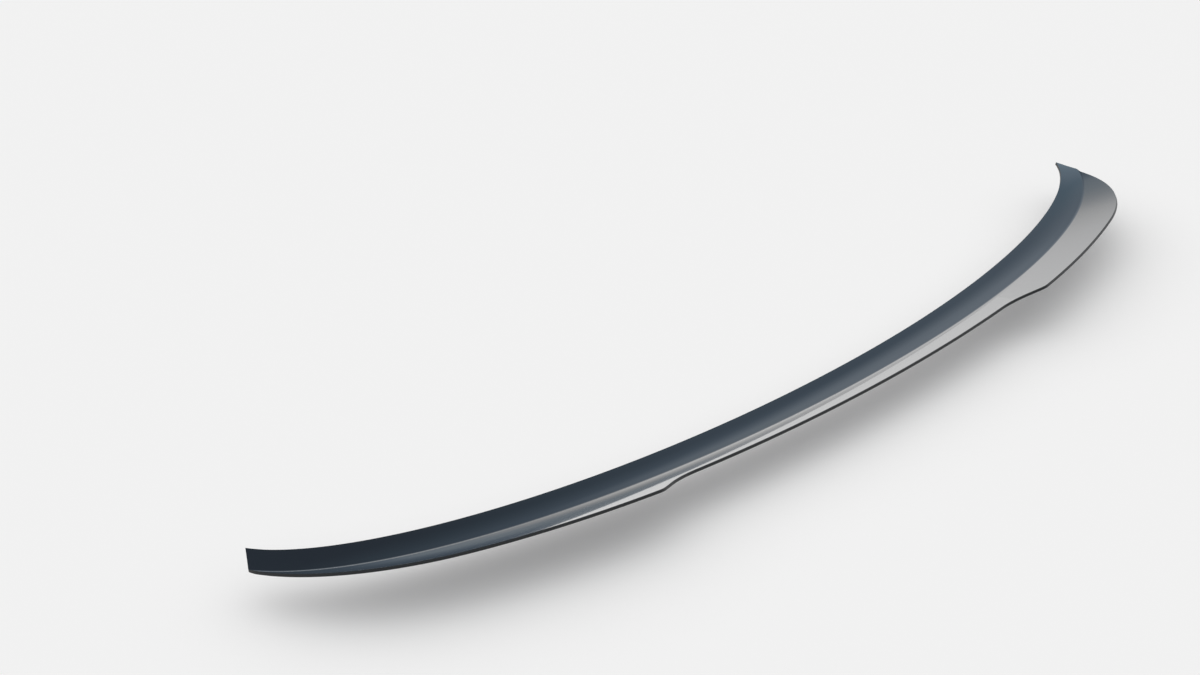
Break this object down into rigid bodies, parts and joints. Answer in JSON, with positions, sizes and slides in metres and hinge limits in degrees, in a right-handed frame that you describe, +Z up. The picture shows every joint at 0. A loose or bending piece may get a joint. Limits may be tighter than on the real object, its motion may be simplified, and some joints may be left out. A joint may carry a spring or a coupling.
{
  "type": "rear spoiler",
  "caption": "Bowed stick-on rear spoiler lip for a car's boot lid: a thin gloss V-section sheet with a stepped trailing edge, foam tape and a red release liner.",
  "frame": {"origin": "middle of the tape's sticking face, on the plane of symmetry", "axes": "+X across the car, +Y towards the car's front, +Z up"},
  "size_m": [1.2, 0.2125, 0.0279],
  "materials": {
    "spoiler_body": "gloss slate black",
    "adhesive_tape": "dark acrylic foam",
    "release_liner": "smooth red film"
  },
  "bodies": {
    "root": {"spoiler_body": "spoiler_body", "adhesive_tape": "adhesive_tape", "release_liner": "release_liner"}
  },
  "joints": []
}
